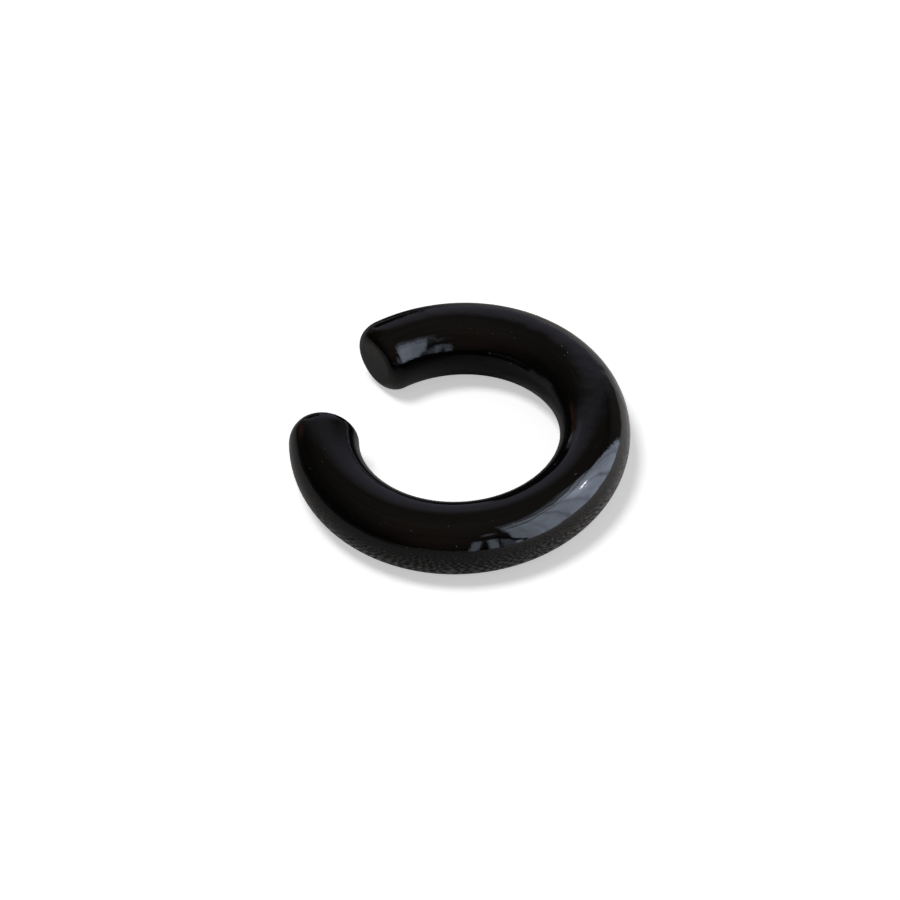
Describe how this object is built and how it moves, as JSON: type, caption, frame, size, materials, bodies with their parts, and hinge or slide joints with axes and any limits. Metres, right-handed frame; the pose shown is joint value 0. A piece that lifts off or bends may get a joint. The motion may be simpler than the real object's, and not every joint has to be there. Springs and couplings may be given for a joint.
{
  "type": "ear cuff",
  "caption": "Chunky open ring with a round section and flat, soft-rimmed ends, in glossy black enamel, worn slipped over the rim of an ear.",
  "frame": {"origin": "on the surface that the ring lies on, under the middle of its footprint", "axes": "+Z is the ring's own axis, -X looks out of the mouth between the two ends, and +Y runs across the ring from one end to the other"},
  "size_m": [0.0156, 0.0164, 0.0036],
  "materials": {
    "black_enamel": "glossy black enamel fired or baked over metal, polished to a mirror, with the faintest waviness"
  },
  "bodies": {
    "root": {"open_ring": "black_enamel"}
  },
  "joints": []
}
